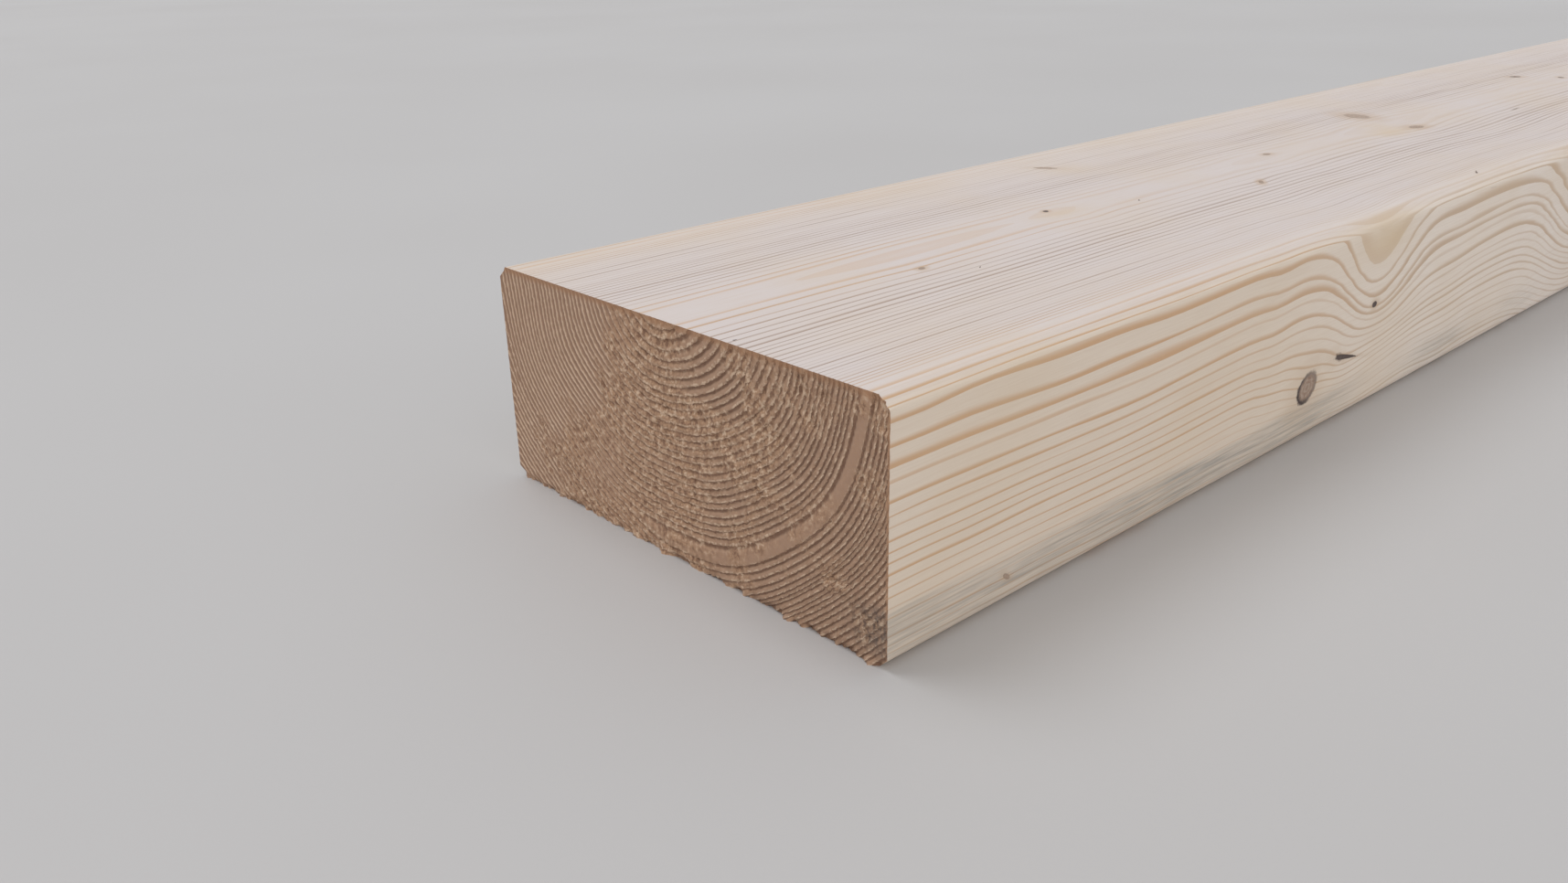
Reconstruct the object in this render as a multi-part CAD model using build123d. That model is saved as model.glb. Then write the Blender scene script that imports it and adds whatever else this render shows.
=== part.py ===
from build123d import *
import os

# A length of planed structural softwood, sawn from one log as a single piece:
# a straight bar of rectangular section whose four long edges are chamfered,
# cut off square with a saw at both ends.
#
# Millimetres, +Z up. The length runs along X, the width along Y and the
# thickness along Z. The origin is the middle of the face that the bar lies on.

# Driving dimensions
LENGTH = 2500.0
WIDTH = 140.0
THICKNESS = 60.0
EDGE_CHAMFER = 3.0


def planed_section():
    """The planed cross-section, standing on the origin, with its corners cut at 45 degrees."""
    blank = Rectangle(WIDTH, THICKNESS, align=(Align.CENTER, Align.MIN))
    return chamfer(blank.vertices(), EDGE_CHAMFER)


def timber_plank():
    """The section carried along the grain, half the length each way from the origin."""
    across_the_grain = Plane.YZ * planed_section()
    return extrude(across_the_grain, amount=LENGTH / 2, both=True)


def write_parts():
    """Writes the one piece, named as its node."""
    os.makedirs("parts", exist_ok=True)
    plank = timber_plank()
    plank.label = "timber_plank"
    export_step(plank, "parts/timber_plank.step")


write_parts()
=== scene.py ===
import math
from collections import namedtuple

import bpy
import numpy as np
from mathutils import Matrix, Vector


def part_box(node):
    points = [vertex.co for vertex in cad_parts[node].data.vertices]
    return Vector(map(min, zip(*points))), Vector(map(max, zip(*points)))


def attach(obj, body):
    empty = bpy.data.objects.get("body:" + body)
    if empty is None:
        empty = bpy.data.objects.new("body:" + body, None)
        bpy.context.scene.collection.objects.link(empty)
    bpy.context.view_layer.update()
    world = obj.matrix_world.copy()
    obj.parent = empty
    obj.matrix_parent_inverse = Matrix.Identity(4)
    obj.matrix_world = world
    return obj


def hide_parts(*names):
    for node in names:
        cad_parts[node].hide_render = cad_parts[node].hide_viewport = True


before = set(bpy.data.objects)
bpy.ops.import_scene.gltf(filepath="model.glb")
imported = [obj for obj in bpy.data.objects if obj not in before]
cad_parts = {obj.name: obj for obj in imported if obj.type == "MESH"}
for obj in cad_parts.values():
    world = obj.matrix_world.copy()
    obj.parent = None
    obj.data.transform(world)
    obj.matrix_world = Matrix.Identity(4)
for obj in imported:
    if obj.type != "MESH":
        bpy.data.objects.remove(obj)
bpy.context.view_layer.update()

# A length of planed spruce whose growth rings, knots and stain are worked out in the wood's own
# space, so that a ring met on the sawn end runs on along the planed faces. Lengths are millimetres
# until a mesh is made or a shader reads a place. "along" is the distance from the shown end.

MM = 0.001
low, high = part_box("timber_plank")
LENGTH = (high.x - low.x) / MM
WIDTH = (high.y - low.y) / MM
THICKNESS = (high.z - low.z) / MM
CHAMFER = 3.0
HALF_WIDTH = WIDTH / 2

# The pith runs just above the top face. It dips here and there (along, reach, fall), and past the
# photo's stretch it also sways up and down and drifts sideways.
PITH_Y = 2.0
PITH_Z = 67.9
PITH_DIPS = ((85.0, 27.0, 1.35), (149.0, 6.0, 1.0), (262.0, 11.0, 1.15), (352.0, 12.0, 1.3))
SWAY = 1.6
SWAY_STARTS = (400.0, 600.0)
SWAY_WAVES = (41.0, 67.0)
DRIFT = 3.0
DRIFT_STARTS = (400.0, 900.0)
DRIFT_WAVE = 290.0

# Rings, from the pith outwards: two wide ones, young ones that narrow, then even ones
RING_SEED = 7
RADIUS_MAX = 128.0
FIRST_RINGS = (3.4, 4.1)
FIRST_DARKNESS = 0.34
RING_WIDTH = 1.72
YOUNG_EXTRA = 1.9
YOUNG_REACH = 11.0
INNER_RADIUS = 60.5
LATEWOOD_SHARE = 0.32
INNER_WIDTHS = (0.82, 1.18)
INNER_SHARES = (0.6, 1.3)
INNER_DARKNESS = (0.3, 0.5, 0.75, 1.1)
BEYOND_WIDTHS = (0.8, 1.15)
BEYOND_SHARES = (0.7, 1.4)
BEYOND_DARKNESS = (0.4, 0.95)

# The outer rings as the near edge face shows them: width, share of latewood, darkness
OUTER_RINGS = (
    (5.1, 0.42, 0.52),
    (1.7, 0.16, 0.15),
    (1.9, 0.46, 0.66),
    (1.8, 0.28, 0.95),
    (1.6, 0.32, 1.00),
    (1.45, 0.26, 0.80),
    (1.0, 0.60, 1.00),
    (0.7, 0.30, 0.35),
    (1.55, 0.27, 0.95),
    (1.1, 0.28, 0.65),
    (1.0, 0.24, 0.35),
    (1.2, 0.30, 0.85),
    (1.3, 0.26, 0.85),
    (1.2, 0.24, 0.70),
    (1.4, 0.28, 0.95),
    (1.6, 0.20, 0.55),
    (1.5, 0.20, 0.65),
    (1.6, 0.18, 0.40),
    (1.5, 0.22, 0.65),
    (1.3, 0.18, 0.35),
    (1.5, 0.26, 0.70),
    (1.2, 0.30, 0.80),
    (1.4, 0.20, 0.50),
    (2.3, 0.16, 0.40),
)

# How the stem grew unevenly. Angles turn from the far side, through straight down, to the near one.
LEAN_RADII = (0, 12, 20, 30, 45, 55, 65, 74, 90)
LEAN = (0, 2, 4, 6.5, 8.5, 6.5, 3.6, 0.8, 0)
LEAN_ANGLES = (100, 178)
FAR_LOBES = 0.75
LOBES = 0.5
WAVES = 0.30
WAVES_SEED = 31
TREMOR = 0.13
TREMOR_SEED = 33

# Where branches pushed the rings outwards
Swelling = namedtuple("Swelling", "along y z rise before after breadth")
SWELLINGS = (
    Swelling(206.0, -74.0, 46.0, 5.6, 14.5, 18.0, 19.0),
    Swelling(222.0, -74.0, 26.0, 2.4, 15.0, 21.0, 9.0),
    Swelling(262.0, -74.0, 36.0, 0.6, 34.0, 30.0, 13.0),
    Swelling(385.0, -74.0, 15.0, 9.5, 27.0, 32.0, 35.0),
    Swelling(207.0, -74.0, 8.0, 1.3, 10.0, 14.0, 6.0),
    Swelling(193.0, -74.0, 14.0, 2.3, 8.0, 12.0, 7.0),
)

# Knots. The turn is in degrees, and a core darkness below 0 lets the wood show through.
# "push" is how far the rings bend round the mark, and "reach" how far off they still do.
Mark = namedtuple("Mark", "face along across long_half half turn core rim halo push reach")
KNOTS = (
    Mark("near", 171.6, 16.9, 5.1, 4.0, 24.0, 0.05, 1.00, 0.45, 2.8, 8.0),
    Mark("near", 208.0, 33.6, 1.5, 0.9, 0.0, 0.90, 0.30, 0.80, 0.3, 5.0),
    Mark("near", 38.0, 7.9, 1.3, 0.6, -35.0, -0.10, 0.20, 0.60, 0.2, 3.0),
    Mark("near", 188.8, 21.7, 2.8, 1.6, -14.0, 0.85, 0.60, 0.50, 0.5, 5.0),
    Mark("top", 73.0, -12.2, 1.2, 0.8, 20.0, 0.10, 0.10, 1.00, 0.5, 4.0),
    Mark("top", 146.8, 4.8, 1.1, 0.8, 30.0, 0.80, 0.30, 0.90, 0.5, 4.0),
    Mark("top", 228.0, -19.7, 2.4, 0.8, 33.0, 0.05, 0.00, 1.00, 0.7, 5.0),
    Mark("top", 201.8, 46.2, 4.0, 1.4, -58.0, -0.10, 0.05, 0.35, 0.3, 6.0),
    Mark("top", 275.0, 3.7, 1.8, 1.2, 0.0, 0.05, 0.10, 0.70, 0.4, 5.0),
    Mark("top", 380.0, 20.0, 6.0, 4.2, 60.0, -0.25, 0.15, 0.80, 2.2, 12.0),
    Mark("top", 368.0, -9.7, 3.8, 2.4, 0.0, -0.10, 0.15, 0.90, 1.8, 10.0),
    Mark("bottom", 164.0, 30.0, 5.0, 4.2, 10.0, 0.15, 0.80, 0.50, 1.8, 9.0),
    Mark("bottom", 371.0, -22.0, 7.0, 6.0, 0.0, 0.20, 0.90, 0.50, 2.2, 12.0),
    Mark("bottom", 384.0, 38.0, 5.5, 4.8, 0.0, 0.10, 0.70, 0.50, 1.8, 10.0),
    Mark("far", 189.0, 28.0, 4.5, 3.6, 15.0, 0.15, 0.90, 0.50, 1.6, 9.0),
    Mark("far", 377.0, 19.0, 6.5, 5.2, 10.0, 0.15, 0.90, 0.50, 2.2, 12.0),
)

# Bark pockets, resin streaks and flecks, in the same terms. They taper along their length.
POCKETS = (
    Mark("near", 194.2, 20.7, 7.2, 1.2, -12.0, 0.90, 0.20, 0.40, 0.6, 6.0),
    Mark("top", 289.0, -62.7, 2.4, 0.5, 25.0, 0.70, 0.00, 0.20, 0.0, 3.0),
    Mark("top", 391.0, -20.0, 7.0, 0.9, 0.0, 0.50, 0.00, 0.30, 0.3, 6.0),
    Mark("top", 437.0, -20.5, 9.0, 1.0, 4.0, 0.50, 0.00, 0.30, 0.3, 6.0),
    Mark("top", 2.4, -22.6, 0.6, 0.4, 0.0, 1.00, 0.00, 0.00, 0.0, 3.0),
    Mark("top", 178.5, -6.5, 1.1, 0.4, 35.0, 0.60, 0.00, 0.00, 0.0, 3.0),
    Mark("top", 84.0, -22.0, 0.9, 0.3, 35.0, 0.60, 0.00, 0.00, 0.0, 3.0),
)

# How marks are painted: how deep a face's paint goes, how far a mark reaches beyond its own
# length, and the border that keeps two marks apart
FACE_DEPTH = 4.0
MARK_REACH = 9.0
MARK_REACH_SHARE = 3.2
MARK_BORDER = 3.0
MARK_OFFSET_MAX = 24.0
OUT_OF_REACH = 1e6
KNOT_RINGS = 19.0
RAGGEDNESS = {"knot": 0.55, "pocket": 0.9}

# Soft tints, which fill the wood as far out as one ring
Tint = namedtuple("Tint", "face along across reach breadth strength")
TINTS = (
    Tint("near", 212.0, 53.0, 14.0, 5.0, 1.00),
    Tint("near", 376.0, 51.0, 24.0, 6.0, 1.00),
    Tint("near", 163.0, 10.5, 4.0, 3.0, 0.60),
    Tint("near", 219.0, 28.0, 11.0, 5.5, 0.45),
    Tint("near", 206.0, 9.0, 14.0, 4.0, 0.25),
    Tint("top", 349.0, -7.5, 9.0, 5.0, 0.70),
    Tint("top", 148.0, 0.0, 8.0, 2.5, 0.45),
    Tint("top", 360.0, 4.0, 7.0, 7.0, 0.40),
    Tint("top", 205.0, 38.0, 7.0, 5.0, 0.30),
    Tint("top", 200.0, 62.0, 160.0, 9.0, 0.12),
)
FILLED_TO = 69.2
FILLED_BLUR = 0.1

# Blue stain along the lower near edge: its upper border and that border's fall along the plank,
# and patches past its end (along, reach, height, thickness, strength)
STAIN_TOP = 12.4
STAIN_FALL = 0.006
STAIN_EDGE = 7.0
STAIN_ENDS = (225.0, 170.0)
STAIN_PATCHES = ((262.0, 20.0, 8.0, 3.6, 0.60), (328.0, 13.0, 8.0, 3.6, 0.35))
STAIN_SEED = 41
LATER_STAIN = 0.7
LATER_STAIN_STARTS = (420.0, 520.0)
LATER_STAIN_SEED = 43

# Whorls of branches past the photo's sharp stretch, one about every year of height growth
WHORL_START = 560.0
WHORL_STEP = 205.0
WHORL_STEPS = (0.85, 1.15)
WHORL_BRANCHES = 5
WHORL_SEED = 23
WHORL_SPREAD = 16.0
WHORL_END_GAP = 40.0
FIRST_BRANCH = (0.12, 0.5)
FLATTEST_BRANCH = 0.12
BRANCH_TAPER = (0.035, 0.085)
BRANCH_CLIMB = 0.12
YOUNG_SPREAD = 12.0

# Their swellings: smallest knot, lead along, lift, rise to each millimetre of knot, breadth
EDGE_SWELLING = (3.5, 18.0, 14.0, 0.62, 36.0)
BOTTOM_SWELLING = (3.0, 14.0, 0.0, 0.45, 26.0)
SWELLING_REACH = (20.0, 28.0)
SWELLING_OUTSIDE = 4.0

# Cells of the ends, then steps round the section, then steps between its lines down the length
END_CELL = 0.44
HIDDEN_CELL = 1.25
CHAMFER_CELLS = 7
HIDDEN_CHAMFER_CELLS = 2
FIRST_LINE = 3.0
BOTTOM_STEP = 3.4
FAR_STEP = 2.7
NEAR_STEP = 1.9
CHAMFER_STEP = 1.5
TOP_STEP = 2.6
TOP_STEP_LESS = 1.1
GRADING_SAMPLES = 4001
SHARP_STRETCH = 420.0
CROSS_STEP = 7.0
LATER_CROSS_STEP = 15.0
KNOT_STEP = 2.6
LATER_KNOT_STEP = 4.5
SWELLING_STEP = 3.4

# Relief of the sawn ends
SHOWN_SEED = 51
HIDDEN_SEED = 71
ZONE_SEED = 61
BASE_DEPTH = 0.18
RIDGE_DEPTH = 0.42
FINE_RIDGE_DEPTH = 0.24
TEAR_DEPTH = 0.90
BAND_DEPTH = 0.16
CRISP_ANGLE = 62.0

# Bake layout, in shares of its square
STRIP_SHARE = 0.76
BAKE_MARGIN = 0.006

# How the figure changes down the length: where the change starts and ends, and its values there
LATEWOOD_WIDENS = (150.0, 270.0, 1.0, 1.45)
LINES_FADE = (30.0, 200.0, 1.50, 0.72)
EDGE_WARMTH_FADES = (100.0, 500.0, 0.95, 0.60)
# Painted light: the earlywood is painted paler further along, where more light falls
EARLYWOOD_LIT_ALONG = (100.0, 290.0, 0.0, 1.0)
LATEWOOD_GREYS = (100.0, 250.0, 0.0, 1.0)

# Figure drawn out along the grain: bumps to the metre along it and across it, detail, roughness
WOBBLE = (14.0, 260.0, 1.0, 0.5)
FIBRE = (60.0, 2400.0, 3.0, 0.65)
STREAK = (25.0, 700.0, 2.0, 0.6)

# Lines on the planed faces: bumps to the metre and between rings, the widest share, the sapwood
LENS_ALONG = 19.0
LENS_BETWEEN = 3.7
WIDEST_SHARE = 0.96
SAPWOOD_STARTS = (INNER_RADIUS - 14.0, INNER_RADIUS + 4.0)
CURVE_RINGS = 80

# Colours, linear
EARLYWOOD_INNER = (0.715, 0.640, 0.618, 1.0)
EARLYWOOD_OUTER = (0.800, 0.690, 0.572, 1.0)
# Earlywood painted paler, standing for the brighter light further along
EARLYWOOD_LIT_AHEAD = (0.890, 0.810, 0.725, 1.0)
LATEWOOD_INNER = (0.370, 0.260, 0.210, 1.0)
LATEWOOD_OUTER = (0.630, 0.385, 0.210, 1.0)
LATEWOOD_AHEAD = (0.585, 0.430, 0.305, 1.0)
FIBRE_TINT = (0.600, 0.450, 0.325, 1.0)
WARM_TINT = (0.700, 0.540, 0.350, 1.0)
KNOT_LIGHT = (0.450, 0.345, 0.270, 1.0)
KNOT_BROWN = (0.270, 0.150, 0.095, 1.0)
KNOT_DARK = (0.050, 0.030, 0.028, 1.0)
HALO = (0.560, 0.385, 0.235, 1.0)
STAIN = (0.330, 0.320, 0.300, 1.0)
END_FLAT = (0.430, 0.270, 0.186, 1.0)
# Painted highlight, laid on the sawn end's rib rims and tuft tips
END_RIM_HIGHLIGHT = (0.800, 0.600, 0.430, 1.0)
# Painted shade, laid in the sawn end's grooves, tuft gaps and deeper hollows
END_HOLLOW_SHADE = (0.185, 0.094, 0.056, 1.0)
END_TORN = (0.490, 0.290, 0.170, 1.0)
END_EDGE = (0.450, 0.240, 0.130, 1.0)
END_STAIN = (0.085, 0.085, 0.085, 1.0)
FLOOR = (0.535, 0.520, 0.515, 1.0)
FLOOR_CLOUD = (0.560, 0.548, 0.545, 1.0)
SKY = (0.975, 0.985, 1.0, 1.0)
KEY_LIGHT = (0.955, 0.975, 1.0)
FILL_LIGHT = (1.0, 0.945, 0.89)

# Stage. The suns' directions point towards them, and their spreads are in degrees.
FLOOR_HALF = 30.0
SKY_STRENGTH = 0.58
SUN_ENERGY = 1.0
KEY_TOWARDS = (-0.12, 0.42, 0.90)
KEY_SPREAD = 36.0
FILL_TOWARDS = (-0.40, -0.90, 0.20)
FILL_SPREAD = 100.0

# Camera: where the photo was taken from, in millimetres and degrees. It heads from +X towards
# +Y, looks down and leans a little to its right.
CAMERA_PLACE = (-1411.77, -220.55, 143.54)
CAMERA_HEADING = 48.1146
CAMERA_DOWN = 22.6359
CAMERA_LEAN = 1.2377
CAMERA_LENS = 29.125
CAMERA_SENSOR = 36.0
CAMERA_NEAREST = 0.01

NOISE_SIZE = 512


def smooth(value, start, end):
    """0 before start, 1 past end and an S between."""
    t = np.clip((value - start) / (end - start), 0.0, 1.0)
    return t * t * (3 - 2 * t)


def noise(u, v, seed):
    """Smooth noise from -1 to 1, with one bump to each unit of u and v."""
    table = np.random.default_rng(seed).uniform(-1.0, 1.0, (NOISE_SIZE, NOISE_SIZE))
    column = np.floor(u).astype(int)
    row = np.floor(v).astype(int)

    def corner(i, j):
        return table[(column + i) % NOISE_SIZE, (row + j) % NOISE_SIZE]

    across = smooth(u - column, 0, 1)
    up = smooth(v - row, 0, 1)
    left = corner(0, 0) * (1 - up) + corner(0, 1) * up
    right = corner(1, 0) * (1 - up) + corner(1, 1) * up
    return left * (1 - across) + right * across


def bell(value, centre, reach):
    return np.exp(-0.5 * ((value - centre) / reach) ** 2)


# Rings

def grown_rings():
    """Outer radius, share of latewood and darkness of every ring, from the pith outwards."""
    draws = np.random.default_rng(RING_SEED)
    edges = [0.0]
    looks = []

    def grow(width, share, darkness):
        edges.append(edges[-1] + width)
        looks.append((share, darkness))

    for width in FIRST_RINGS:
        grow(width, LATEWOOD_SHARE, FIRST_DARKNESS)
    while edges[-1] < INNER_RADIUS - RING_WIDTH / 2:
        width = RING_WIDTH + YOUNG_EXTRA * math.exp(-edges[-1] / YOUNG_REACH)
        grow(width * draws.uniform(*INNER_WIDTHS), LATEWOOD_SHARE * draws.uniform(*INNER_SHARES),
             draws.choice(INNER_DARKNESS))
    edges[-1] = INNER_RADIUS
    for ring in OUTER_RINGS:
        grow(*ring)
    while edges[-1] < RADIUS_MAX:
        grow(RING_WIDTH * draws.uniform(*BEYOND_WIDTHS), LATEWOOD_SHARE * draws.uniform(*BEYOND_SHARES),
             draws.uniform(*BEYOND_DARKNESS))
    return np.array(edges), *np.array(looks).T


RING_EDGES, RING_SHARES, RING_DARKNESS = grown_rings()
FIRST_OUTER_RING = int(np.argmin(np.abs(RING_EDGES - INNER_RADIUS)))


def ring_number(radius):
    return np.interp(radius, RING_EDGES, np.arange(len(RING_EDGES)))


# Branches

def section_point(face, across, outside=0.0):
    """The y and z of a place across a planed face, or of one that far outside it."""
    return {
        "top": (across, THICKNESS + outside),
        "bottom": (across, -outside),
        "near": (-HALF_WIDTH - outside, across),
        "far": (HALF_WIDTH + outside, across),
    }[face]


def exit_of_branch(angle):
    """Where a ray from the pith at this angle below the horizontal leaves the section."""
    step_y, step_z = math.cos(angle), -math.sin(angle)
    side = HALF_WIDTH if step_y > 0 else -HALF_WIDTH
    to_side = (side - PITH_Y) / step_y
    to_bottom = PITH_Z / -step_z
    if to_bottom < to_side:
        return "bottom", PITH_Y + step_y * to_bottom, to_bottom
    return ("far" if step_y > 0 else "near"), PITH_Z + step_z * to_side, to_side


def grown_knot(draws, along, angle):
    """The knot where a branch comes out of the wood, darker if the branch was dead."""
    face, across, travel = exit_of_branch(angle)
    half = draws.uniform(*BRANCH_TAPER) * travel
    spot = along + draws.uniform(-WHORL_SPREAD, WHORL_SPREAD) + BRANCH_CLIMB * travel
    dead = draws.uniform(0, 1)
    turn = draws.uniform(-30, 30)
    return Mark(face, spot, across, half * 1.15, half, turn,
                0.25 + 0.3 * dead, 0.5 + 0.5 * dead, 0.5, 0.42 * half, 1.6 * half + 3)


def young_knot(draws, along, across, into):
    """The small knot where a branch passes through the top face, close to the pith."""
    half = 0.9 + 0.05 * into
    spot = along + draws.uniform(-YOUNG_SPREAD, YOUNG_SPREAD)
    return Mark("top", spot, across, half * 1.4, half, draws.uniform(-60, 60), 0.7, 0.3, 0.8, 0.5, 4.0)


def grown_whorls():
    """Knots for the rest of the length: branches spread round the pith, thicker further out."""
    draws = np.random.default_rng(WHORL_SEED)
    found = []
    along = WHORL_START
    while along < LENGTH - WHORL_END_GAP:
        first = draws.uniform(*FIRST_BRANCH)
        for n in range(WHORL_BRANCHES):
            turn = (math.pi - 2 * FLATTEST_BRANCH) * (n + draws.uniform(-0.2, 0.2)) / WHORL_BRANCHES
            angle = min(max(first + turn, FLATTEST_BRANCH), math.pi - FLATTEST_BRANCH)
            found.append(grown_knot(draws, along, angle))
            into = (PITH_Z - THICKNESS) / math.sin(angle)
            across = PITH_Y + into * math.cos(angle)
            if abs(across) < HALF_WIDTH - 8 and n % 2 == 0:
                found.append(young_knot(draws, along, across, into))
        along += WHORL_STEP * draws.uniform(*WHORL_STEPS)
    return tuple(found)


GROWN_KNOTS = grown_whorls()
ALL_KNOTS = KNOTS + GROWN_KNOTS


def whorl_swellings():
    """The rings bulge where a thick branch of a later whorl leaves an edge face or the bottom."""
    found = []
    for knot in GROWN_KNOTS:
        terms = BOTTOM_SWELLING if knot.face == "bottom" else EDGE_SWELLING
        smallest, lead, lift, share, breadth = terms
        if knot.face != "top" and knot.half > smallest:
            y, z = section_point(knot.face, knot.across, SWELLING_OUTSIDE)
            rise = share * knot.half
            found.append(Swelling(knot.along + lead, y, z + lift, rise, *SWELLING_REACH, breadth))
    return tuple(found)


ALL_SWELLINGS = SWELLINGS + whorl_swellings()


# The wood's own space

def pith_height(along):
    height = np.full_like(along, PITH_Z)
    for centre, reach, fall in PITH_DIPS:
        height = height - fall * bell(along, centre, reach)
    quick, slow = SWAY_WAVES
    wave = 0.55 + 0.45 * np.sin(along / quick) * np.sin(along / slow + 1.0)
    return height - smooth(along, *SWAY_STARTS) * SWAY * wave


def uneven_growth(along, radius, angle):
    """The radius with the stem's lean, lobes, waves and tremor."""
    radius = radius - np.interp(radius, LEAN_RADII, LEAN) * smooth(angle, *LEAN_ANGLES)
    lobes = np.sin(np.radians(angle) * 7 + 0.6) * smooth(radius, 15, 50) * smooth(angle, 90, 30)
    radius = radius + FAR_LOBES * lobes
    radius = radius + LOBES * np.sin(np.radians(angle) * 9 + along / 260.0) * smooth(radius, 20, 60)
    waves = noise(along / 70.0, angle / 9.0, WAVES_SEED) * smooth(along, 0, 40)
    radius = radius + WAVES * waves * smooth(radius, 8, 30)
    tremor = noise(along / 26.0, radius / 3.5, TREMOR_SEED) * smooth(along, 0, 20)
    return radius + TREMOR * tremor * smooth(radius, 8, 30)


def branch_push(along, y, z):
    """How far branches pushed the rings outwards at each point."""
    push = np.zeros(len(along))
    for swelling in ALL_SWELLINGS:
        away = ((y - swelling.y) ** 2 + (z - swelling.z) ** 2) / swelling.breadth**2
        reach = np.where(along < swelling.along, swelling.before, swelling.after)
        push = push + swelling.rise * bell(along, swelling.along, reach) * np.exp(-0.5 * away)
    for mark in ALL_KNOTS + POCKETS:
        mark_y, mark_z = section_point(mark.face, mark.across)
        away = ((along - mark.along) / 1.5) ** 2 + (y - mark_y) ** 2 + (z - mark_z) ** 2
        push = push + mark.push * np.exp(-0.5 * away / mark.reach**2)
    return push


def even_far_rings(radius, angle):
    """On the far side of the pith the outer rings are all about as wide as the inner ones."""
    count = FIRST_OUTER_RING + (radius - INNER_RADIUS) / RING_WIDTH
    far = np.interp(count, np.arange(len(RING_EDGES)), RING_EDGES)
    share = smooth(angle, 88, 70) * smooth(radius, INNER_RADIUS, INNER_RADIUS + 0.5)
    return radius + (far - radius) * share


def tree_radius(along, y, z):
    """Radius at which the wood at a point grew, as if its stem had been straight and round."""
    drift = smooth(along, *DRIFT_STARTS) * DRIFT * np.sin(along / DRIFT_WAVE)
    across = y - PITH_Y - drift
    down = pith_height(along) - z
    angle = np.degrees(np.arctan2(down, across))
    radius = uneven_growth(along, np.hypot(across, down), angle) - branch_push(along, y, z)
    return np.clip(even_far_rings(radius, angle), 0.0, RADIUS_MAX)


def offsets_from(mark, along, y, z):
    """Offsets from a mark's middle: along the grain, across it and through its face."""
    mark_y, mark_z = section_point(mark.face, mark.across)
    if mark.face in ("top", "bottom"):
        return along - mark.along, y - mark_y, z - mark_z
    return along - mark.along, z - mark_z, y - mark_y


def mark_fields(marks, along, y, z):
    """For every point: its offset from the nearest mark in that mark's own radii, and its looks.
    Between two marks the third number of the offset, which lets a mark show, is 0."""
    nearest = np.full(len(along), OUT_OF_REACH)
    second = np.full(len(along), OUT_OF_REACH)
    size = np.ones(len(along))
    second_size = np.ones(len(along))
    offset = np.tile((MARK_OFFSET_MAX, MARK_OFFSET_MAX, 0.0), (len(along), 1))
    looks = np.zeros((len(along), 3))
    for mark in marks:
        ahead, side, depth = offsets_from(mark, along, y, z)
        turn = math.radians(mark.turn)
        forward = ahead * math.cos(turn) + side * math.sin(turn)
        sideways = side * math.cos(turn) - ahead * math.sin(turn)
        u, v = forward / mark.long_half, sideways / mark.half
        away = np.where(np.abs(depth) < FACE_DEPTH, np.hypot(u, v), OUT_OF_REACH)
        closer = away < nearest
        next_best = ~closer & (away < second)
        second = np.where(closer, nearest, np.where(next_best, away, second))
        second_size = np.where(closer, size, np.where(next_best, mark.half, second_size))
        nearest = np.where(closer, away, nearest)
        size[closer] = mark.half
        shows = np.hypot(forward, sideways) < MARK_REACH + MARK_REACH_SHARE * mark.long_half
        shorten = np.minimum(1.0, MARK_OFFSET_MAX / np.maximum(np.hypot(u, v), 1.0))
        offset[closer] = np.column_stack((u * shorten, v * shorten, shows))[closer]
        looks[closer] = (mark.core, mark.rim, mark.halo)
    to_border = (second - nearest) / (1 / size + 1 / second_size)
    offset[to_border < MARK_BORDER, 2] = 0.0
    return offset, looks


def tint_field(along, y, z):
    """How warm a tan the wood has, 0 to 1."""
    total = np.zeros(len(along))
    for tint in TINTS:
        ahead, side, depth = offsets_from(tint, along, y, z)
        spread = bell(ahead, 0, tint.reach) * bell(side, 0, tint.breadth)
        total = total + tint.strength * spread * (np.abs(depth) < FACE_DEPTH)
    return np.clip(total, 0.0, 1.0)


def stain_field(along, y, z):
    """Blue stain along the lower near edge, strongest just behind the end."""
    top = STAIN_TOP - STAIN_FALL * along + 1.2 * noise(along / 45.0, along * 0, STAIN_SEED)
    body = smooth(z, 1.6, 4.5) * smooth(z, top + 2.4, top - 1.6)
    stain = body * smooth(along, *STAIN_ENDS) * (0.75 + 0.20 * bell(along, 125, 45))
    for centre, reach, height, thickness, strength in STAIN_PATCHES:
        stain = stain + strength * bell(along, centre, reach) * bell(z, height, thickness)
    runs = smooth(noise(along / 110.0, along * 0, LATER_STAIN_SEED), 0.15, 0.6)
    runs = LATER_STAIN * runs * smooth(along, *LATER_STAIN_STARTS)
    return bell(y, -HALF_WIDTH, STAIN_EDGE) * (stain + runs * bell(z, 7, 3.5))


# Mesh

def graded(start, end, spacing):
    """Values from start to end whose steps follow spacing(value)."""
    fine = np.linspace(start, end, GRADING_SAMPLES)
    density = 1.0 / spacing(fine)
    total = np.concatenate(([0.0], np.cumsum((density[1:] + density[:-1]) / 2 * np.diff(fine))))
    steps = max(1, math.ceil(total[-1]))
    return np.interp(np.linspace(0, total[-1], steps + 1), total, fine)


def even(start, end, spacing):
    return np.linspace(start, end, max(1, round(abs(end - start) / spacing)) + 1)


def across_lines(reach_low, reach_high, cell, chamfer_cells):
    """Grid lines over one side of the end, with a chamfer's cells at both ends."""
    step = CHAMFER / chamfer_cells
    middle = even(reach_low + CHAMFER, reach_high - CHAMFER, cell)
    first = reach_low + step * np.arange(chamfer_cells)
    last = reach_high - step * np.arange(chamfer_cells)[::-1]
    return np.concatenate((first, middle, last))


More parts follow.
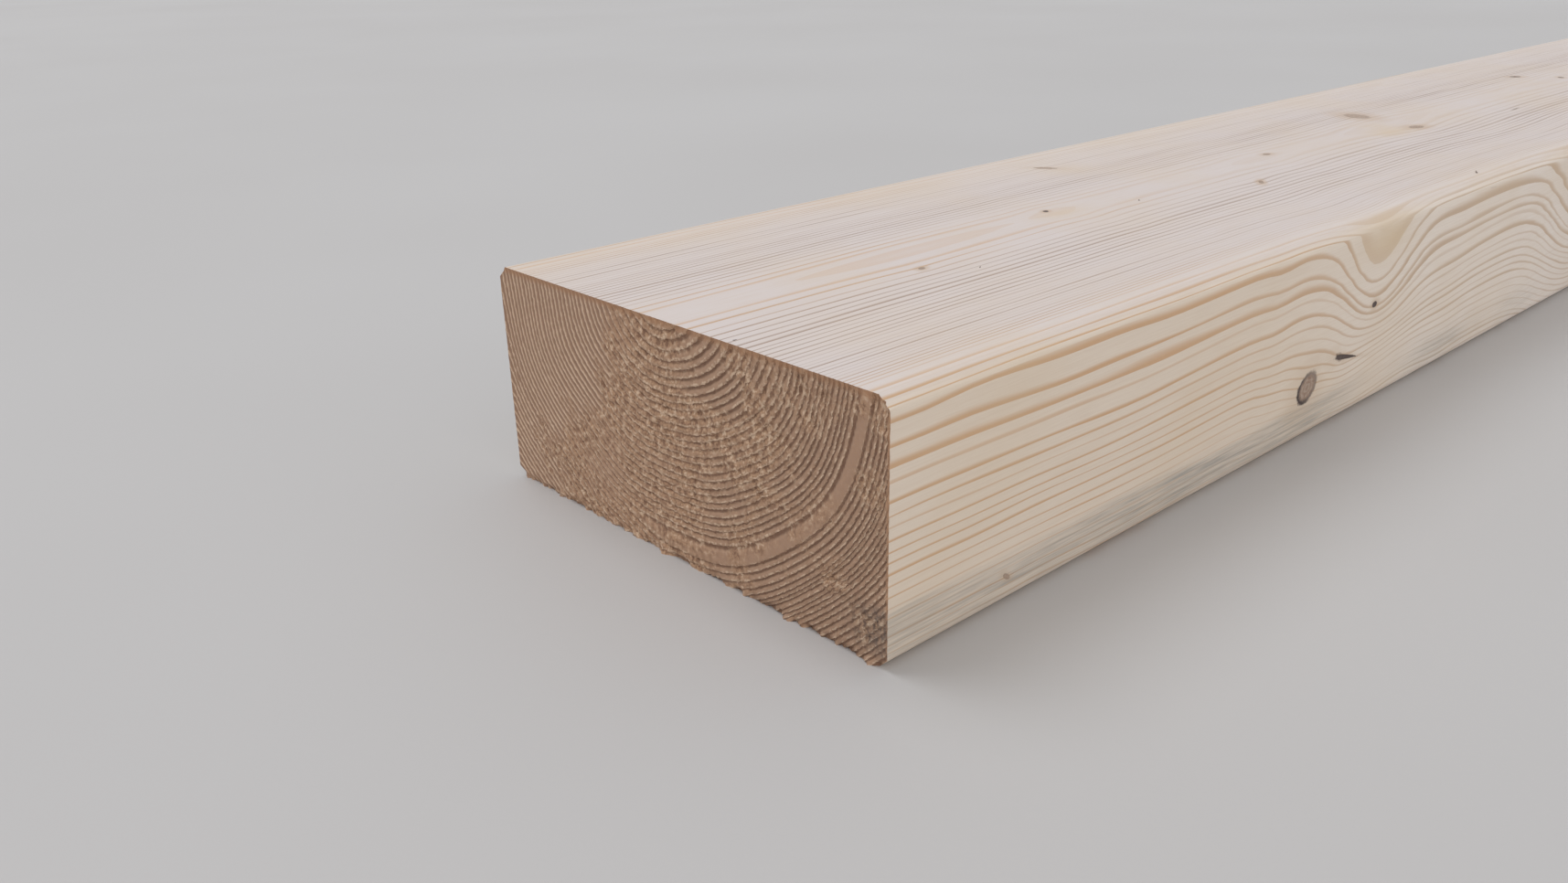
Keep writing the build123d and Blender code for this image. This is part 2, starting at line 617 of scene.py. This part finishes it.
def outline_walk(columns, rows, cut):
    """Grid places round a rectangle whose corners are cut off, from the left end of its base."""
    right, top = columns - 1, rows - 1
    corners = ((cut, 0), (right - cut, 0), (right, cut), (right, top - cut),
               (right - cut, top), (cut, top), (0, top - cut), (0, cut))
    walk = []
    for (i, j), (next_i, next_j) in zip(corners, corners[1:] + corners[:1]):
        steps = max(abs(next_i - i), abs(next_j - j))
        step_i, step_j = (next_i - i) // steps, (next_j - j) // steps
        walk += [(i + step_i * t, j + step_j * t) for t in range(steps)]
    return walk


def end_grid(cell, chamfer_cells):
    """Points, cells and outline of a chamfered end, in the y and z of the section."""
    ys = across_lines(-HALF_WIDTH, HALF_WIDTH, cell, chamfer_cells)
    zs = across_lines(0.0, THICKNESS, cell, chamfer_cells)
    columns, rows = len(ys), len(zs)
    from_side = np.minimum(np.arange(columns), columns - 1 - np.arange(columns))
    from_level = np.minimum(np.arange(rows), rows - 1 - np.arange(rows))
    inside = from_side[:, None] + from_level[None, :] >= chamfer_cells
    ids = np.full((columns, rows), -1)
    ids[inside] = np.arange(inside.sum())
    column, row = np.nonzero(inside)
    points = np.column_stack((ys[column], zs[row]))
    faces = []
    for i in range(columns - 1):
        for j in range(rows - 1):
            corners = (ids[i, j], ids[i, j + 1], ids[i + 1, j + 1], ids[i + 1, j])
            kept = tuple(int(c) for c in corners if c >= 0)
            if len(kept) > 2:
                faces.append(kept)
    outline = np.array([ids[place] for place in outline_walk(columns, rows, chamfer_cells)])
    return points, faces, outline


def section_corners():
    inner = HALF_WIDTH - CHAMFER
    top = THICKNESS - CHAMFER
    return ((-inner, 0.0), (inner, 0.0), (HALF_WIDTH, CHAMFER), (HALF_WIDTH, top),
            (inner, THICKNESS), (-inner, THICKNESS), (-HALF_WIDTH, top), (-HALF_WIDTH, CHAMFER))


def section_sides():
    """Each side of the section as its start and the run to its end."""
    corners = np.array(section_corners())
    return list(zip(corners, np.roll(corners, -1, axis=0) - corners))


def steady(step):
    return lambda travelled: np.full_like(travelled, step)


def top_spacing(travelled):
    """Steps over the top face, shortest over the pith, by the distance from its far side."""
    y = HALF_WIDTH - CHAMFER - travelled
    return TOP_STEP - TOP_STEP_LESS * bell(y, PITH_Y, 9.0)


def section_loop():
    """The section's outline, as fine as each face's figure needs."""
    chamfer = steady(CHAMFER_STEP)
    spacings = (steady(BOTTOM_STEP), chamfer, steady(FAR_STEP), chamfer,
                top_spacing, chamfer, steady(NEAR_STEP), chamfer)
    points = []
    for (start, run), spacing in zip(section_sides(), spacings):
        size = np.linalg.norm(run)
        points.extend(start + run * mark / size for mark in graded(0.0, size, spacing)[:-1])
    return np.array(points)


def length_spacing(along):
    """Step between the cross-lines: short where the grain swerves."""
    spacing = np.where(along < SHARP_STRETCH, CROSS_STEP, LATER_CROSS_STEP)
    for knot in ALL_KNOTS:
        if knot.push > 0.6:
            finest = LATER_KNOT_STEP if knot in GROWN_KNOTS else KNOT_STEP
            spacing = np.minimum(spacing, finest + 0.22 * np.abs(along - knot.along))
    for swelling in SWELLINGS:
        away = np.abs(along - swelling.along)
        spacing = np.minimum(spacing, SWELLING_STEP + 0.05 * away)
    return spacing


def perimeter_place(points):
    """How far round the section each point of its outline is, and the way all round."""
    place = np.zeros(len(points))
    found = np.full(len(points), OUT_OF_REACH)
    travelled = 0.0
    for start, run in section_sides():
        size = np.linalg.norm(run)
        t = np.clip((points - start) @ run / size**2, 0, 1)
        gap = np.linalg.norm(points - start - t[:, None] * run, axis=1)
        better = gap < found - 1e-6
        place[better] = travelled + t[better] * size
        found[better] = gap[better]
        travelled += size
    return place, travelled


def zipped(first, first_place, second, second_place, around):
    """Triangles between two outlines that start at the same corner."""
    faces = []
    a = b = 0
    first_next = np.append(first_place[1:], around)
    second_next = np.append(second_place[1:], around)
    while a < len(first) or b < len(second):
        here, there = int(first[a % len(first)]), int(second[b % len(second)])
        step_first = a < len(first) and (b >= len(second) or first_next[a] <= second_next[b] + 1e-6)
        if step_first:
            faces.append((here, int(first[(a + 1) % len(first)]), there))
            a += 1
        else:
            faces.append((here, int(second[(b + 1) % len(second)]), there))
            b += 1
    return faces


def angle_round_pith(y, z):
    return np.degrees(np.arctan2(PITH_Z - z, y - PITH_Y))


def end_zones(y, z, radius):
    """How finely ribbed and how torn each point of a sawn end is: fine ribs on the far side, the
    most torn wood in the middle and broken ridges on the near side."""
    angle = angle_round_pith(y, z)
    start = 60 - 30 * smooth(radius, 34, 16)
    start = start + 8 * noise(y / 7.0, z / 7.0, ZONE_SEED) + 5 * noise(y / 2.0, z / 2.0, ZONE_SEED + 3)
    fine = smooth(angle, start, start - 18)
    wild = (1 - fine) * smooth(angle, 114, 92)
    patch = noise(y / 8.0, z / 8.0, ZONE_SEED + 1) + 0.6 * noise(y / 3.5, z / 3.5, ZONE_SEED + 2)
    torn = 0.42 + 0.95 * patch + 0.25 * smooth(radius, 52, 38) - 0.15 * smooth(radius, 66, 76)
    torn = (1 - fine) * (1 - wild) * np.clip(torn, 0.08, 1.0)
    torn = torn + wild * np.clip(0.85 + 0.3 * patch, 0.4, 1.0)
    torn = torn * (1 - 0.75 * bell(y, 27, 8) * bell(z, 15, 4))
    return fine, torn


def smooth_band(y, z, radius):
    """The one broad ring that the saw left smooth, from the lower edge up the near side."""
    inner = RING_EDGES[FIRST_OUTER_RING] + 1.3
    outer = RING_EDGES[FIRST_OUTER_RING + 1] - 0.1
    ring = smooth(radius, inner - 0.3, inner) * smooth(radius, outer, outer - 0.3)
    return smooth(angle_round_pith(y, z), 84, 100) * ring


def lower_edge(y, z, seed):
    """How much deeper the ragged lower edge lies, less than 0 at its tufts."""
    chipped = 0.30 + 0.5 * noise(y / 2.1, y * 0, seed + 4) + 0.4 * noise(y / 0.9, y * 0, seed + 5)
    tufts = smooth(noise(y / 5.0, y * 0, seed + 8), 0.45, 0.8)
    return smooth(z, 2.2, 0.0) * (np.clip(chipped, -0.3, 1.0) - 1.1 * tufts)


def end_relief(points, seed):
    """Depth of the sawn surface behind the end plane in millimetres, and its zones."""
    y, z = points.T
    radius = tree_radius(np.zeros(len(points)), y, z)
    fine, torn = end_zones(y, z, radius)
    ragged = 0.18 + 0.17 * torn * (1 - fine)
    number = ring_number(radius + ragged * noise(y / 1.4, z / 1.4, seed + 6))
    index = np.floor(number).astype(int)
    place = number - index
    middle = (RING_EDGES[index] + RING_EDGES[index + 1]) / 2
    groove = smooth(place, 0.0, 0.10) * smooth(place, 0.62, 0.24) * (1 - 0.35 * torn)
    even_groove = FINE_RIDGE_DEPTH * (1 - np.cos(2 * np.pi * place))
    groove = groove + fine * (even_groove - groove)
    beads = noise(np.radians(angle_round_pith(y, z)) * middle / 1.5, index * 7.3, seed)
    grit = noise(y / 1.1, z / 1.3, seed + 1) + 0.5 * noise(y / 2.6, z / 2.6, seed + 2)
    depth = BASE_DEPTH + RIDGE_DEPTH * groove
    depth = depth + TEAR_DEPTH * torn * (0.35 + 0.65 * groove) * (0.36 * beads + 0.44 * grit)
    band = smooth_band(y, z, radius)
    depth = depth * (1 - band) + BAND_DEPTH * band + 0.10 * noise(y / 9.0, z / 9.0, seed + 3)
    edge = np.minimum(THICKNESS - z, HALF_WIDTH - np.abs(y))
    depth = depth * smooth(edge, -0.3, 1.3) + 0.05 * noise(y / 0.9, z / 0.9, seed + 7)
    return depth + lower_edge(y, z, seed), np.column_stack((fine, torn))


def bar_faces(rows, around, start):
    """Four-cornered faces between neighbouring rows of an outline."""
    faces = []
    for here in range(start, start + (rows - 1) * around, around):
        for n in range(around):
            m = (n + 1) % around
            faces.append((here + n, here + m, here + around + m, here + around + n))
    return faces


def plank_arrays():
    """Points, faces, which faces are sawn, and each point's depth and zones, closed all round."""
    shown, shown_faces, shown_loop = end_grid(END_CELL, CHAMFER_CELLS)
    hidden, hidden_faces, hidden_loop = end_grid(HIDDEN_CELL, HIDDEN_CHAMFER_CELLS)
    shown_depth, shown_zones = end_relief(shown, SHOWN_SEED)
    hidden_depth, hidden_zones = end_relief(hidden, HIDDEN_SEED)
    loop = section_loop()
    around = len(loop)
    lines = graded(FIRST_LINE, LENGTH - FIRST_LINE, length_spacing)
    body = np.column_stack((np.repeat(lines, around), np.tile(loop, (len(lines), 1))))
    points = np.vstack((
        np.column_stack((shown_depth, shown)),
        body,
        np.column_stack((LENGTH - hidden_depth, hidden)),
    ))
    first_row = len(shown) + np.arange(around)
    last_row = first_row + (len(lines) - 1) * around
    hidden_start = len(shown) + len(body)
    loop_place, total = perimeter_place(loop)
    shown_place, _ = perimeter_place(shown[shown_loop])
    hidden_place, _ = perimeter_place(hidden[hidden_loop])
    planed = bar_faces(len(lines), around, len(shown))
    planed += zipped(shown_loop, shown_place, first_row, loop_place, total)
    planed += zipped(last_row, loop_place, hidden_start + hidden_loop, hidden_place, total)
    turned = [tuple(hidden_start + c for c in reversed(face)) for face in hidden_faces]
    sawn = np.repeat((1, 0, 1), (len(shown_faces), len(planed), len(turned)))
    depth = np.concatenate((shown_depth, np.zeros(len(body)), hidden_depth))
    zones = np.vstack((shown_zones, np.zeros((len(body), 2)), hidden_zones))
    return points, shown_faces + planed + turned, sawn, depth, zones


def add_attribute(mesh, name, values):
    single = values.ndim == 1
    made = mesh.attributes.new(name, "FLOAT" if single else "FLOAT_VECTOR", "POINT")
    made.data.foreach_set("value" if single else "vector", values.astype(np.float32).ravel())


def read_integers(items, name):
    values = np.empty(len(items), int)
    items.foreach_get(name, values)
    return values


def lay_out_bake(mesh, along, y, z):
    """A flat layout of the whole surface: the long faces as one strip, the two ends above it."""
    corner = read_integers(mesh.loops, "vertex_index")
    first = read_integers(mesh.polygons, "loop_start")
    sizes = np.diff(np.append(first, len(corner)))
    sawn = np.repeat(read_integers(mesh.polygons, "material_index"), sizes)
    place, around = perimeter_place(np.column_stack((y, z)))
    place = place[corner]
    wraps = np.maximum.reduceat(place, first) - np.minimum.reduceat(place, first) > around / 2
    place = place + around * (np.repeat(wraps, sizes) & (place < around / 2))
    strip = np.column_stack((along[corner] / LENGTH, STRIP_SHARE * place / around))
    end_side = (1 - 3 * BAKE_MARGIN) / 2
    scale = end_side / WIDTH
    shift = np.where(along[corner] < LENGTH / 2, BAKE_MARGIN, 2 * BAKE_MARGIN + end_side)
    end_u = shift + (y[corner] + HALF_WIDTH) * scale
    end_v = STRIP_SHARE + BAKE_MARGIN + z[corner] * scale
    chosen = np.where(sawn[:, None] == 1, np.column_stack((end_u, end_v)), strip)
    layer = mesh.uv_layers.new(name="OFBake")
    layer.data.foreach_set("uv", chosen.astype(np.float32).ravel())


def make_plank():
    """The bar's mesh, with everything that its materials read at each point."""
    points, faces, sawn, depth, zones = plank_arrays()
    along, y, z = points.T
    radius = tree_radius(along, y, z)
    mesh = bpy.data.meshes.new("planed_plank")
    placed = np.column_stack((along - LENGTH / 2, y, z)) * MM
    mesh.from_pydata(placed.tolist(), [], faces)
    mesh.polygons.foreach_set("material_index", sawn)
    add_attribute(mesh, "tree_radius", radius)
    for name, marks in (("knot", ALL_KNOTS), ("pocket", POCKETS)):
        offset, looks = mark_fields(marks, along, y, z)
        add_attribute(mesh, name + "_offset", offset)
        add_attribute(mesh, name + "_looks", looks)
    add_attribute(mesh, "stain", stain_field(along, y, z))
    add_attribute(mesh, "tint", tint_field(along, y, z))
    add_attribute(mesh, "depth", depth)
    add_attribute(mesh, "zones", np.column_stack((zones, smooth_band(y, z, radius))))
    mesh.polygons.foreach_set("use_smooth", sawn.astype(bool))
    mesh.set_sharp_from_angle(angle=math.radians(CRISP_ANGLE))
    mesh.validate()
    mesh.update()
    lay_out_bake(mesh, along, y, z)
    return bpy.data.objects.new("planed_plank", mesh)


# Materials

def x_of(along):
    """Where a distance from the shown end lies in the object, in metres."""
    return (along - LENGTH / 2) * MM


class Value:
    """A node's output. Working with it adds the nodes that do the work."""

    def __init__(self, shader, socket):
        self.shader = shader
        self.socket = socket

    def __add__(self, other):
        return self.shader.math("ADD", self, other)

    def __sub__(self, other):
        return self.shader.math("SUBTRACT", self, other)

    def __rsub__(self, other):
        return self.shader.math("SUBTRACT", other, self)

    def __mul__(self, other):
        return self.shader.math("MULTIPLY", self, other)

    def __truediv__(self, other):
        return self.shader.math("DIVIDE", self, other)

    def at_least(self, other):
        return self.shader.math("MAXIMUM", self, other)

    def at_most(self, other):
        return self.shader.math("MINIMUM", self, other)

    def ramp(self, start, end, low=0.0, high=1.0, kind="SMOOTHSTEP"):
        """Low until start, high past end."""
        joins = {0: self, 1: start, 2: end, 3: low, 4: high}
        return self.shader.add("ShaderNodeMapRange", joins, interpolation_type=kind)

    def ramp_mm(self, start, end, low=0.0, high=1.0):
        """A ramp over a part of the place, between millimetres."""
        return self.ramp(start * MM, end * MM, low, high)

    def ramp_along(self, change):
        """A ramp of x down the length, between distances from the shown end."""
        start, end, before, after = change
        return self.ramp(x_of(start), x_of(end), before, after)


class Shader:
    """One node material, built by short calls that add a node and join it up."""

    def __init__(self, name):
        self.material = bpy.data.materials.new(name)
        self.material.use_nodes = True
        self.tree = self.material.node_tree
        self.tree.nodes.clear()

    def node(self, kind, joins, **settings):
        made = self.tree.nodes.new(kind)
        for key, value in settings.items():
            setattr(made, key, value)
        for key, value in joins.items():
            if isinstance(value, Value):
                self.tree.links.new(value.socket, made.inputs[key])
            else:
                made.inputs[key].default_value = value
        return made

    def add(self, kind, joins, output=0, **settings):
        return Value(self, self.node(kind, joins, **settings).outputs[output])

    def math(self, operation, first, second=0.0):
        return self.add("ShaderNodeMath", {0: first, 1: second}, operation=operation)

    def mix(self, factor, first, second):
        return self.add("ShaderNodeMix", {0: factor, 6: first, 7: second}, 2, data_type="RGBA")

    def layered(self, colour, layers):
        """A colour with others laid over it in turn, each by its own share."""
        for share, layer in layers:
            colour = self.mix(share, colour, layer)
        return colour

    def attribute(self, name, output="Fac"):
        return self.add("ShaderNodeAttribute", {}, output, attribute_name=name)

    def place(self):
        """The place in the object, in metres."""
        return self.add("ShaderNodeTexCoord", {}, "Object")

    def parts(self, vector):
        made = self.node("ShaderNodeSeparateXYZ", {0: vector})
        return tuple(Value(self, socket) for socket in made.outputs)

    def vector(self, x, y, z):
        return self.add("ShaderNodeCombineXYZ", {0: x, 1: y, 2: z})

    def noise(self, vector, scale, detail=2.0, roughness=0.5):
        joins = {"Vector": vector, "Scale": scale, "Detail": detail, "Roughness": roughness}
        return self.add("ShaderNodeTexNoise", joins)

    def grain(self, parts, figure):
        """Noise that is drawn out along the grain."""
        x, y, z = parts
        along, across, detail, roughness = figure
        return self.noise(self.vector(x * along, y * across, z * across), 1.0, detail, roughness)

    def curve(self, value, points):
        """A curve through points whose x and y both run from 0 to 1."""
        made = self.node("ShaderNodeFloatCurve", {"Value": value})
        line = made.mapping.curves[0]
        line.points[0].location = points[0]
        line.points[1].location = points[-1]
        for x, y in points[1:-1]:
            line.points.new(x, y)
        for point in line.points:
            point.handle_type = "VECTOR"
        made.mapping.update()
        return Value(self, made.outputs[0])

    def finish(self, colour, bump, rough):
        joins = {"Base Color": colour, "Normal": bump, "Roughness": rough, "IOR": 1.5}
        surface = self.add("ShaderNodeBsdfPrincipled", joins)
        self.node("ShaderNodeOutputMaterial", {"Surface": surface})
        return self.material


def ring_curve():
    """Ring number against radius, both as shares of their largest value."""
    inside = [float(radius) for radius in RING_EDGES if radius < RADIUS_MAX]
    return [(radius / RADIUS_MAX, n / CURVE_RINGS) for n, radius in enumerate(inside)]


def per_ring(values):
    """A curve that gives each ring's own value where it is read at the ring's middle."""
    return [((n + 0.5) / CURVE_RINGS, float(value)) for n, value in enumerate(values[:CURVE_RINGS])]


def filled_rings(radius, beyond=0.0, within=1.0):
    """One value for the rings beyond the last that a tint fills, and another within it."""
    return radius.ramp(FILLED_TO + FILLED_BLUR, FILLED_TO - FILLED_BLUR, beyond, within)


def ring_place(shader, wobble):
    """The radius at which each point grew, its ring's index, and its place in the ring, 0 to 1."""
    radius = shader.attribute("tree_radius") + wobble
    number = shader.curve(radius / RADIUS_MAX, ring_curve()) * CURVE_RINGS
    return radius, shader.math("FLOOR", number), shader.math("FRACT", number)


def latewood_share(shader, x, radius, middle, lens):
    """How much of each ring is latewood: more further along, and most where a tint fills it."""
    share = shader.curve(middle, per_ring(RING_SHARES)) * lens.ramp(0.25, 0.75, 0.55, 1.6, "LINEAR")
    share = share * x.ramp_along(LATEWOOD_WIDENS)
    filled = shader.attribute("tint") * filled_rings(radius)
    return share.at_least(filled.ramp(0.05, 0.5, 0.0, WIDEST_SHARE)).at_most(WIDEST_SHARE)


def ring_tone(shader, x, wobble):
    """Where the latewood is, 0 to 1, how dark its line is, and how far out in the sapwood.
    Each line swells and thins along the grain."""
    radius, index, inside = ring_place(shader, wobble)
    middle = (index + 0.5) / CURVE_RINGS
    lens = shader.noise(shader.vector(x * LENS_ALONG, index * LENS_BETWEEN, 0.0), 1.0, 1.0)
    share = latewood_share(shader, x, radius, middle, lens)
    tone = ((inside - (1.0 - share)) / share).at_least(0.0).ramp(0.0, 0.75)
    sapwood = radius.ramp(*SAPWOOD_STARTS)
    fainter = x.ramp_along(LINES_FADE).at_least(sapwood) * radius.ramp(9.0, 20.0, 0.62, 1.0)
    darkness = shader.curve(middle, per_ring(RING_DARKNESS)) * lens.ramp(0.2, 0.7, 0.75, 1.1, "LINEAR")
    return tone, tone * (darkness * fainter).at_most(1.0), sapwood


def ring_colour(shader, parts, line, sapwood):
    """Earlywood and latewood, warmer towards the edge faces and greyer further along. Part of the edge
    faces' warmth is painted warm bounce light, and the earlywood's paling further along is painted
    light.
    """
    x, y, z = parts
    edge_warmth_and_bounce = y.ramp_mm(30, HALF_WIDTH - 1).at_least(y.ramp_mm(-HALF_WIDTH + 15, -HALF_WIDTH + 1))
    # The warmth towards the edges is the wood's own. The top face gets only 0.3 of it, which paints
    # warm bounce light onto the edge faces.
    edge_warmth_and_bounce = edge_warmth_and_bounce * z.ramp_mm(THICKNESS + 0.2, THICKNESS - CHAMFER, 0.30, 1.0)
    edge_warmth_and_bounce = edge_warmth_and_bounce * x.ramp_along(EDGE_WARMTH_FADES)
    # Painted light: the earlywood turns paler further along, standing for the brighter light there
    outer = shader.mix(x.ramp_along(EARLYWOOD_LIT_ALONG), EARLYWOOD_OUTER, EARLYWOOD_LIT_AHEAD)
    earlywood = shader.mix(edge_warmth_and_bounce, EARLYWOOD_INNER, outer)
    young = shader.attribute("tree_radius").ramp(20.0, 9.0)
    outer = shader.mix(x.ramp_along(LATEWOOD_GREYS), LATEWOOD_OUTER, LATEWOOD_AHEAD)
    latewood = shader.mix(sapwood.at_least(young), LATEWOOD_INNER, outer)
    return shader.mix(line * 0.95, earlywood, latewood)


def mark_nodes(shader, kind, colour, place):
    """Paints the marks of one kind over a colour, and gives how far each dips into the face."""
    u, v, gate = shader.parts(shader.attribute(kind + "_offset", "Vector"))
    dark, rim_tone, halo_tone = shader.parts(shader.attribute(kind + "_looks", "Vector"))
    if kind == "pocket":
        v = v * u.ramp(-1.0, 1.2, 0.75, 3.2, "LINEAR")
    flat = shader.vector(u, v, 0.0)
    rough = shader.noise(place, 700.0, 3.0, 0.65)
    away = shader.add("ShaderNodeVectorMath", {0: flat}, "Value", operation="LENGTH")
    away = away + (rough - 0.5) * RAGGEDNESS[kind]
    halo = away.ramp(3.4, 0.9) * halo_tone * gate
    inside = away.ramp(1.10, 0.92) * gate * dark.ramp(-1.0, 0.0, 0.0, 1.0, "LINEAR")
    dark = dark.at_least(0.0)
    core = shader.layered(KNOT_LIGHT, (
        (shader.math("SINE", away * KNOT_RINGS).ramp(-1.0, 1.0, 0.0, 0.5), KNOT_BROWN),
        (rough.ramp(0.52, 0.68, 0.0, 0.8), KNOT_BROWN),
        (dark, KNOT_DARK),
    ))
    rim = away.ramp(0.70, 0.96) * away.ramp(1.22, 1.04) * u.ramp(0.8, -0.9, 0.45, 1.0)
    rim = rim * (rim_tone * gate)
    colour = shader.layered(colour, ((halo * 0.55, HALO), (inside, core), (rim, KNOT_DARK)))
    return colour, rim + inside * dark


def planed_wood():
    """Pale spruce: rings, fibres, tints and stain, with the marks over them."""
    shader = Shader("planed_softwood")
    place = shader.place()
    parts = shader.parts(place)
    wobble = (shader.grain(parts, WOBBLE) - 0.5) * 0.5
    tone, line, sapwood = ring_tone(shader, parts[0], wobble)
    fibre = shader.grain(parts, FIBRE)
    streak = shader.grain(parts, STREAK)
    patch = shader.noise(place, 22.0, 3.0)
    warm = filled_rings(shader.attribute("tree_radius"), 0.35, 0.7)
    dapple = fibre.ramp(0.3, 0.7, 0.35, 1.0) * streak.ramp(0.3, 0.7, 0.5, 1.0)
    colour = shader.layered(ring_colour(shader, parts, line, sapwood), (
        (fibre.ramp(0.30, 0.75, 0.0, 0.20), FIBRE_TINT),
        (streak.ramp(0.5, 0.8, 0.0, 0.16), FIBRE_TINT),
        (patch.ramp(0.35, 0.75, 0.0, 0.20), WARM_TINT),
        (shader.attribute("tint") * warm, WARM_TINT),
        (shader.attribute("stain") * dapple, STAIN),
    ))
    colour, knot_dip = mark_nodes(shader, "knot", colour, place)
    colour, pocket_dip = mark_nodes(shader, "pocket", colour, place)
    height = fibre * 0.5 + tone * 0.35 - (knot_dip + pocket_dip)
    bump = shader.add("ShaderNodeBump", {"Height": height, "Strength": 0.25, "Distance": 0.2 * MM})
    return shader.finish(colour, bump, fibre.ramp(0.2, 0.8, 0.48, 0.62))


def end_groove_shade(inside, fine, torn):
    """The painted shade in the groove behind each rib, softer where ribs are fine and fainter where
    torn.
    """
    groove = inside.ramp(0.0, 0.06) * inside.ramp(0.38, 0.14)
    fine_groove = inside.ramp(0.05, 0.28) * inside.ramp(0.80, 0.42)
    return groove.at_least(fine_groove * fine) * (1.0 - fine * 0.45) * (1.0 - torn * 0.35)


def end_rim_highlights(shader, place, inside, fine):
    """The painted highlight on the rim of each latewood rib, broken into beads where ribs aren't fine.
    """
    beads = shader.noise(place, 850.0, 2.0, 0.6).ramp(0.42, 0.60, 0.10, 1.0)
    return inside.ramp(0.66, 0.84) * beads.at_least(fine * 0.8)


def sawn_end():
    """Flat latewood ribs with a painted highlight on their rims, painted shade in the grooves behind
    them and torn tufts between, with painted highlights on their tips and painted shade in their gaps,
    and painted shade where the surface lies deeper.
    """
    shader = Shader("sawn_end_grain")
    place = shader.place()
    y, z = shader.parts(place)[1:]
    fine, torn, band = shader.parts(shader.attribute("zones", "Vector"))
    ribbed = 1.0 - band
    wobble = (shader.noise(place, 800.0, 2.0, 0.6) - 0.5) * torn.ramp(0.0, 1.0, 0.7, 1.4)
    inside = ring_place(shader, wobble)[-1]
    tufts = shader.noise(shader.vector(0.0, y * 640.0, z * 560.0), 1.0, 3.0, 0.7)
    grit = shader.noise(place, 2600.0, 2.0, 0.6)
    groove = end_groove_shade(inside, fine, torn)
    rim = end_rim_highlights(shader, place, inside, fine) * ribbed
    open_grain = torn * inside.ramp(0.75, 0.55, 0.55, 1.0)
    edge = z.ramp_mm(THICKNESS - 2.2, THICKNESS - 0.6)
    edge = edge.at_least(y.ramp_mm(-HALF_WIDTH + 1.2, -HALF_WIDTH + 0.3))
    colour = shader.layered(END_FLAT, (
        (grit.ramp(0.3, 0.7, 0.0, 0.35), END_TORN),
        (open_grain * 0.7, END_TORN),
        # Painted highlight along the edge of each latewood rib
        (rim * 0.72, END_RIM_HIGHLIGHT),
        # Painted shade in the groove behind each rib
        (groove * 0.75 * ribbed, END_HOLLOW_SHADE),
        # Painted shade in the gaps between torn tufts and a painted highlight on their tips
        (tufts.ramp(0.50, 0.38) * open_grain * 0.78, END_HOLLOW_SHADE),
        (tufts.ramp(0.53, 0.64) * open_grain * 0.72, END_RIM_HIGHLIGHT),
        # Painted shade: the deeper the sawn surface lies behind the end, the darker it is painted
        (shader.attribute("depth").ramp(0.35, 1.15, 0.0, 0.65), END_HOLLOW_SHADE),
        (edge * 0.75, END_EDGE),
        (shader.attribute("stain") * tufts.ramp(0.35, 0.6, 0.9, 0.3), END_STAIN),
    ))
    height = tufts * open_grain + rim * 0.35 - groove * 0.7 + grit * 0.12
    bump = shader.add("ShaderNodeBump", {"Height": height, "Strength": 0.8, "Distance": 0.4 * MM})
    return shader.finish(colour, bump, grit.ramp(0.2, 0.8, 0.72, 0.9))


# Stage

def placed_in_scene(made):
    bpy.context.scene.collection.objects.link(made)
    return made


def pale_floor():
    shader = Shader("pale_floor")
    place = shader.place()
    cloud = shader.noise(place, 3.0)
    colour = shader.mix(cloud.ramp(0.2, 0.8), FLOOR, FLOOR_CLOUD)
    bump = shader.add("ShaderNodeBump", {"Height": shader.noise(place, 900.0), "Strength": 0.02})
    return shader.finish(colour, bump, cloud.ramp(0.0, 1.0, 0.6, 0.66))


def make_floor():
    mesh = bpy.data.meshes.new("floor")
    corners = [(-1, -1), (1, -1), (1, 1), (-1, 1)]
    mesh.from_pydata([(FLOOR_HALF * x, FLOOR_HALF * y, 0) for x, y in corners], [], [(0, 1, 2, 3)])
    mesh.materials.append(pale_floor())
    floor = placed_in_scene(bpy.data.objects.new("floor", mesh))


def make_sun(name, towards, spread, colour):
    lamp = bpy.data.lights.new(name, "SUN")
    lamp.energy = SUN_ENERGY
    lamp.angle = math.radians(spread)
    lamp.color = colour
    sun = placed_in_scene(bpy.data.objects.new(name, lamp))
    sun.rotation_euler = Vector(towards).to_track_quat("Z", "Y").to_euler()


def make_lights():
    """A pale surround, a soft key from above the far side and a broad fill from the near side."""
    world = bpy.data.worlds.new("studio")
    world.use_nodes = True
    background = world.node_tree.nodes["Background"]
    background.inputs["Color"].default_value = SKY
    background.inputs["Strength"].default_value = SKY_STRENGTH
    bpy.context.scene.world = world
    make_sun("soft_key", KEY_TOWARDS, KEY_SPREAD, KEY_LIGHT)
    make_sun("broad_fill", FILL_TOWARDS, FILL_SPREAD, FILL_LIGHT)


def turned_about(degrees, axis):
    return Matrix.Rotation(math.radians(degrees), 4, axis)


def make_camera():
    """Stands where the photo was taken from, with its lens."""
    data = bpy.data.cameras.new("camera")
    data.lens = CAMERA_LENS
    data.sensor_width = CAMERA_SENSOR
    data.sensor_fit = "HORIZONTAL"
    data.clip_start = CAMERA_NEAREST
    camera = placed_in_scene(bpy.data.objects.new("camera", data))
    turn = turned_about(CAMERA_HEADING - 90, "Z") @ turned_about(90 - CAMERA_DOWN, "X")
    turn = turn @ turned_about(-CAMERA_LEAN, "Z")
    camera.matrix_world = Matrix.Translation(Vector(CAMERA_PLACE) * MM) @ turn
    bpy.context.scene.camera = camera


make_camera()
make_lights()
make_floor()
bpy.context.scene.view_settings.view_transform = "Standard"

plank = placed_in_scene(make_plank())
plank.data.materials.append(planed_wood())
plank.data.materials.append(sawn_end())
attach(plank, "root")
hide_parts("timber_plank")
